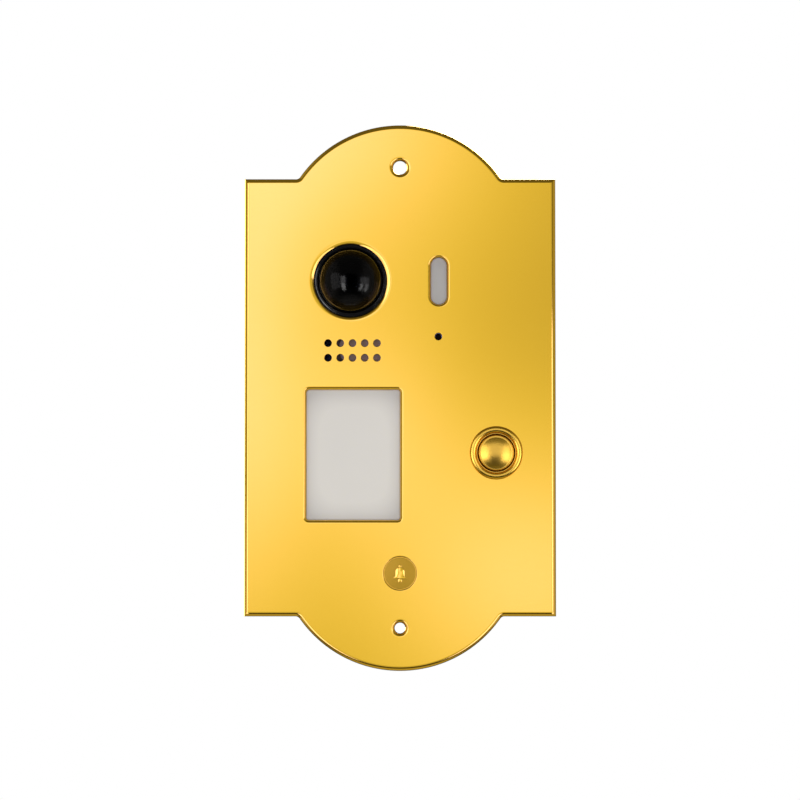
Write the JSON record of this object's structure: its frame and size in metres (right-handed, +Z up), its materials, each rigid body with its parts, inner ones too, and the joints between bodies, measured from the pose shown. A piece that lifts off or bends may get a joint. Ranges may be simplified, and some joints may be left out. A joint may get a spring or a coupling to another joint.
{
  "type": "door intercom panel",
  "caption": "Flush-mounted door intercom panel: arched brass faceplate with dome camera, light window, speaker grille, name window and push-button, electronics in a rear housing.",
  "frame": {"origin": "centre of the faceplate's outline, in the plane of the wall's surface", "axes": "+Y goes into the wall, +Z up, +X to the right of a visitor who faces the panel"},
  "size_m": [0.1274, 0.0505, 0.2234],
  "materials": {
    "polished_brass": "mirror polished and lacquered",
    "satin_brass": "satin",
    "turned_brass": "turned",
    "gasket_foam": "closed-cell foam",
    "black_rubber": "matt",
    "black_gloss": "gloss",
    "smoked_dome": "polished, smoked",
    "lens_glass": "coated",
    "black_plastic": "fine spark-eroded grain",
    "zinc_steel": "zinc plated",
    "capsule_aluminium": "drawn",
    "board_green": "solder mask",
    "chip_black": "moulded",
    "capacitor_sleeve": "shrunk sleeve",
    "relay_blue": "moulded",
    "terminal_green": "moulded",
    "white_plastic": "moulded",
    "red_plastic": "moulded",
    "grey_pane": "translucent",
    "opal_pane": "opal",
    "clear_acrylic": "clear",
    "card": "uncoated",
    "grey_cloth": "woven",
    "cone_film": "pressed film",
    "ribbon_white": "laminated",
    "lead_red": "insulation",
    "lead_blue": "insulation"
  },
  "bodies": {
    "panel": {"faceplate": "polished_brass", "plate_studs": "turned_brass", "stud_nuts": "zinc_steel", "badge": "satin_brass", "wall_gasket": "gasket_foam", "dome_ring": "black_gloss", "camera_dome": "smoked_dome", "dome_seal": "black_rubber", "camera_cradle": "black_plastic", "camera_ribbon": "ribbon_white", "light_window": "grey_pane", "light_holder": "white_plastic", "light_board": "board_green", "mic_boot": "black_rubber", "mic_capsule": "capsule_aluminium", "speaker_cloth": "grey_cloth", "speaker_seal": "gasket_foam", "speaker_frame": "black_plastic", "speaker_cone": "cone_film", "speaker_magnet": "zinc_steel", "name_pane": "opal_pane", "name_card": "card", "window_frame": "white_plastic", "light_guide": "clear_acrylic", "backlight_board": "board_green", "backlight_screws": "zinc_steel", "button_collar": "polished_brass", "button_spring": "zinc_steel", "button_washer": "black_rubber", "button_nut": "turned_brass", "switch_cup": "white_plastic", "switch_body": "black_plastic", "switch_tabs": "zinc_steel", "main_board": "board_green", "board_chips": "chip_black", "board_capacitors": "capacitor_sleeve", "door_relay": "relay_blue", "board_sockets": "white_plastic", "terminal_block": "terminal_green", "terminal_screws": "zinc_steel", "volume_trimmer": "relay_blue", "front_spacers": "turned_brass", "rear_spacers": "turned_brass", "rear_housing": "black_plastic", "housing_screws": "zinc_steel", "speaker_leads": "lead_red", "mic_leads": "lead_blue", "switch_leads": "lead_red", "lamp_leads": "lead_blue"},
    "button": {"button_cap": "satin_brass", "button_clip": "zinc_steel"},
    "plunger": {"switch_plunger": "red_plastic"},
    "gimbal": {"pan_ring": "black_plastic", "pan_pins": "zinc_steel"},
    "camera": {"tilt_pins": "zinc_steel", "camera_body": "black_plastic", "lens_barrel": "black_gloss", "lens_glass": "lens_glass", "sensor_board": "board_green"},
    "rotor": {"trimmer_rotor": "white_plastic"}
  },
  "joints": [
    {"name": "button_press", "type": "slide", "parent": "panel", "child": "button", "axis": [0, 1, 0], "range_m": [0, 0.002], "stiffness_N_per_m": 400, "springref_m": -0.003, "deforming": ["button_spring"]},
    {"name": "switch_press", "type": "slide", "parent": "panel", "child": "plunger", "axis": [0, 1, 0], "range_m": [0, 0.002]},
    {"name": "camera_pan", "type": "hinge", "parent": "panel", "child": "gimbal", "pos_m": [-0.02031, 0.006, 0.0477], "axis": [0, 0, 1], "range_deg": [-10, 10]},
    {"name": "camera_tilt", "type": "hinge", "parent": "gimbal", "child": "camera", "pos_m": [-0.02031, 0.006, 0.0477], "axis": [1, 0, 0], "range_deg": [-10, 10], "deforming": ["camera_ribbon"]},
    {"name": "volume_turn", "type": "hinge", "parent": "panel", "child": "rotor", "pos_m": [0.0355, 0.028, 0.0573], "axis": [0, 1, 0], "range_deg": [-135, 135]}
  ],
  "couplings": [
    {"joint": "switch_press", "follows": "button_press", "ratio": 1}
  ]
}
